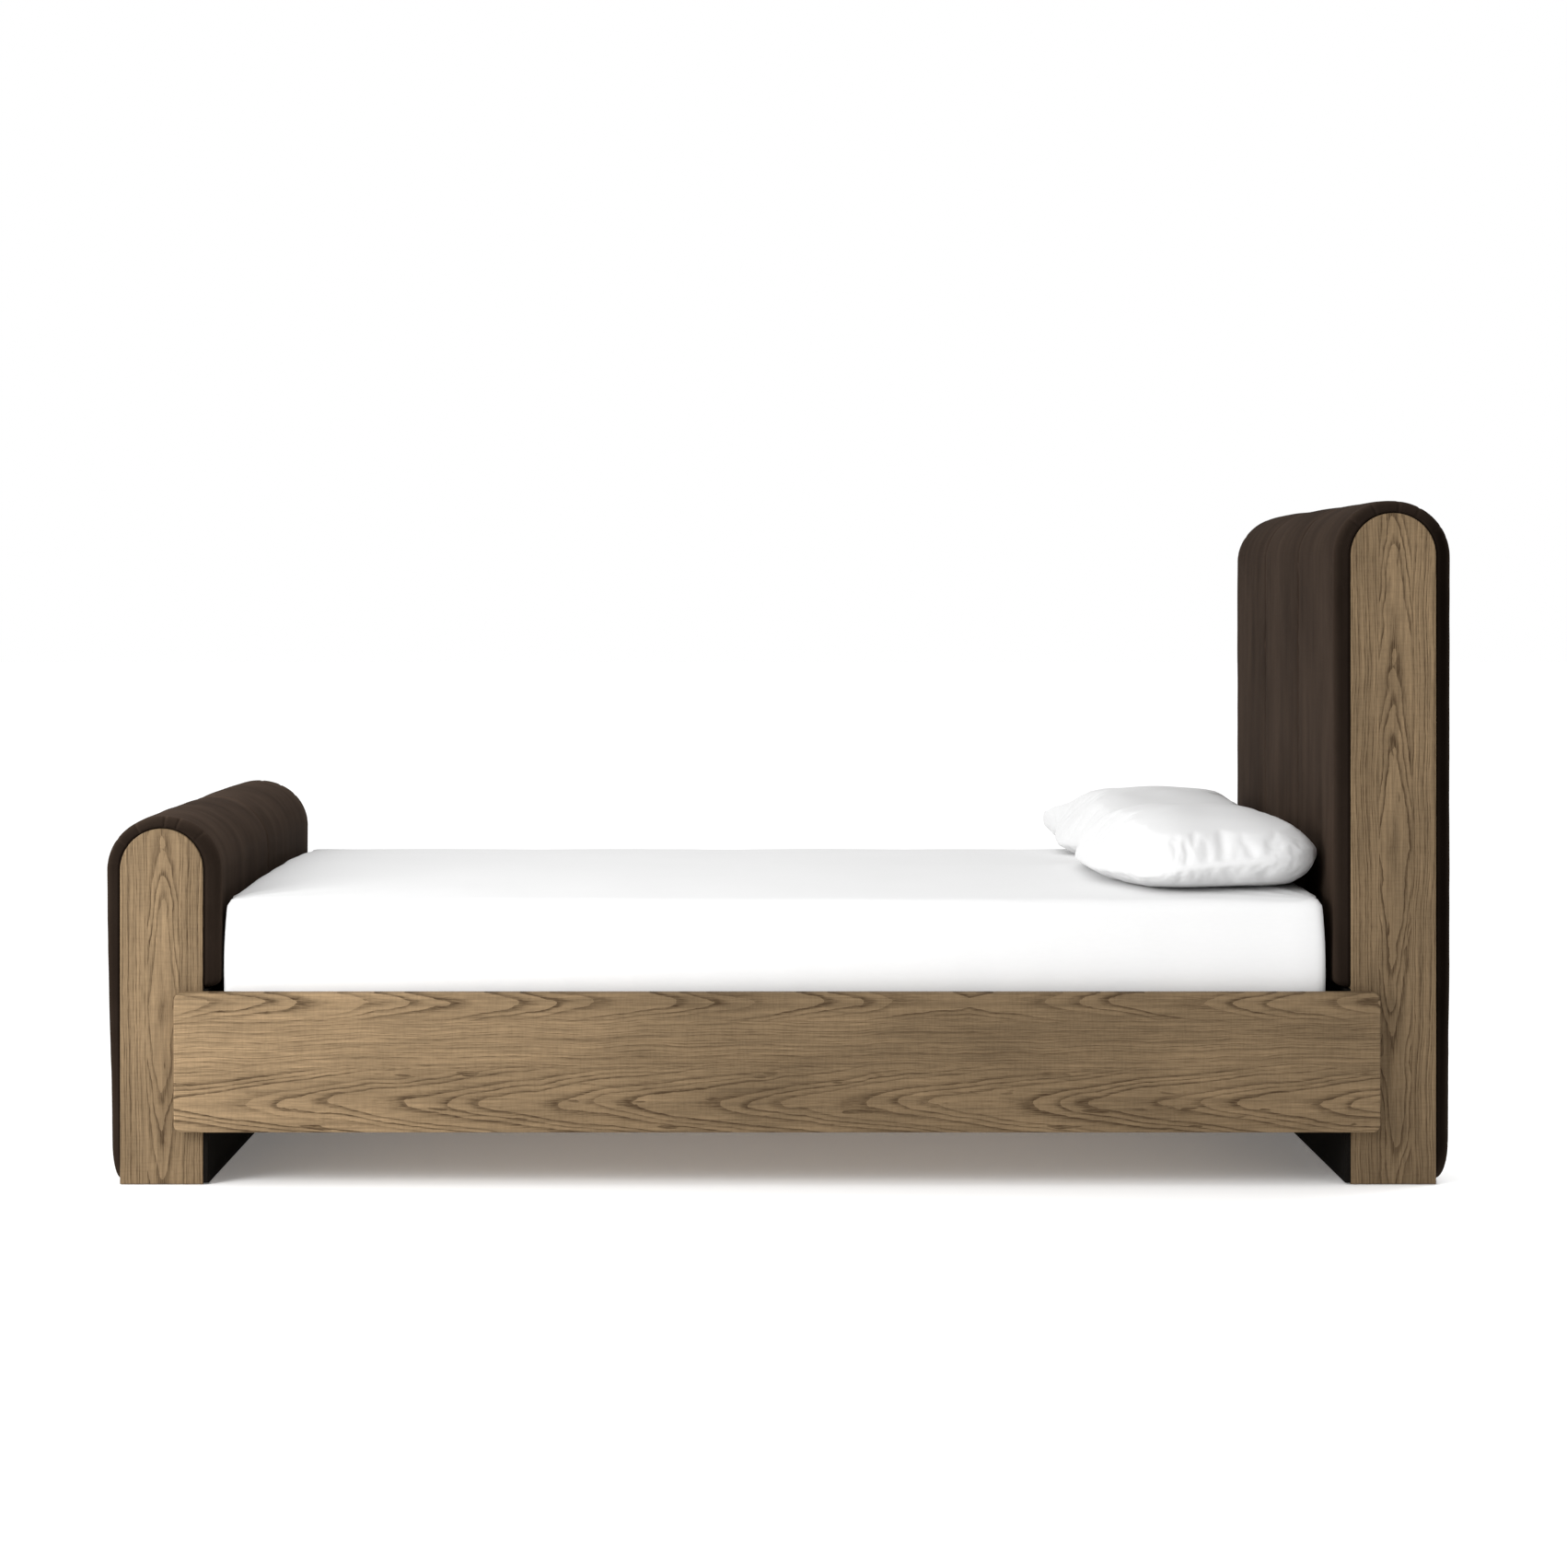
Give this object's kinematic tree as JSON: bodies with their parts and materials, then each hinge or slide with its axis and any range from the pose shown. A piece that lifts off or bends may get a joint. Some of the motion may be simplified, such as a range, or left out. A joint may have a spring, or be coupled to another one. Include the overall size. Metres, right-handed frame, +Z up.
{
  "type": "sleigh bed",
  "caption": "Sleigh bed with arch-topped wooden ends, leather-padded head and foot, wooden side rails, slatted base, mattress and pillows.",
  "frame": {"origin": "on the floor, under the centre of the bed's box", "axes": "+X towards the head, along the bed; +Y across the bed towards its far side; +Z up"},
  "size_m": [2.474, 1.614, 1.258],
  "materials": {
    "oak": "satin",
    "plywood": "matte",
    "slat_pine": "matte",
    "leather": "satin",
    "black_cloth": "matte",
    "foam": "matte",
    "black_steel": "satin",
    "zinc_steel": "satin",
    "brass": "satin",
    "beech": "matte",
    "nylon": "matte",
    "ticking": "matte",
    "sheet_cotton": "matte",
    "pillow_cotton": "matte"
  },
  "bodies": {
    "bed_frame": {"head_end_panel_near": "oak", "head_end_panel_far": "oak", "head_front_board": "plywood", "head_rear_board": "plywood", "head_top_board": "plywood", "head_ribs": "plywood", "head_bolt_rail": "slat_pine", "head_foam": "foam", "head_leather_near": "leather", "head_leather_middle": "leather", "head_leather_far": "leather", "head_lower_panel": "black_cloth", "foot_end_panel_near": "oak", "foot_end_panel_far": "oak", "foot_inner_board": "plywood", "foot_outer_board": "plywood", "foot_top_board": "plywood", "foot_ribs": "plywood", "foot_bolt_rail": "slat_pine", "foot_foam": "foam", "foot_leather_near": "leather", "foot_leather_far": "leather", "foot_lower_panel": "black_cloth", "side_rail_near": "oak", "side_rail_far": "oak", "slat_ledge_near": "slat_pine", "slat_ledge_far": "slat_pine", "slat_01": "slat_pine", "slat_02": "slat_pine", "slat_03": "slat_pine", "slat_04": "slat_pine", "slat_05": "slat_pine", "slat_06": "slat_pine", "slat_07": "slat_pine", "slat_08": "slat_pine", "slat_09": "slat_pine", "slat_10": "slat_pine", "slat_11": "slat_pine", "slat_12": "slat_pine", "centre_beam": "slat_pine", "beam_hangers": "black_steel", "centre_legs": "slat_pine", "rail_brackets": "black_steel", "bed_bolts": "zinc_steel", "threaded_inserts": "brass", "wood_screws": "zinc_steel", "dowels": "beech", "floor_glides": "nylon"},
    "leveller_1": {"leveller_stem_1": "zinc_steel", "leveller_pad_1": "nylon"},
    "leveller_2": {"leveller_stem_2": "zinc_steel", "leveller_pad_2": "nylon"},
    "leveller_3": {"leveller_stem_3": "zinc_steel", "leveller_pad_3": "nylon"},
    "mattress": {"mattress": "ticking", "fitted_sheet": "sheet_cotton"},
    "pillow_near": {"pillow_near": "ticking", "pillowcase_near": "pillow_cotton"},
    "pillow_far": {"pillow_far": "ticking", "pillowcase_far": "pillow_cotton"}
  },
  "joints": [
    {"name": "leveller_1_screw", "type": "slide", "parent": "bed_frame", "child": "leveller_1", "axis": [0, 0, 1], "range_m": [-0.015, 0.015]},
    {"name": "leveller_2_screw", "type": "slide", "parent": "bed_frame", "child": "leveller_2", "axis": [0, 0, 1], "range_m": [-0.015, 0.015]},
    {"name": "leveller_3_screw", "type": "slide", "parent": "bed_frame", "child": "leveller_3", "axis": [0, 0, 1], "range_m": [-0.015, 0.015]},
    {"name": "mattress_lift", "type": "slide", "parent": "bed_frame", "child": "mattress", "axis": [0, 0, 1], "range_m": [0, 0.45]},
    {"name": "pillow_near_lift", "type": "slide", "parent": "mattress", "child": "pillow_near", "axis": [0, 0, 1], "range_m": [0, 0.3]},
    {"name": "pillow_far_lift", "type": "slide", "parent": "mattress", "child": "pillow_far", "axis": [0, 0, 1], "range_m": [0, 0.3]}
  ]
}
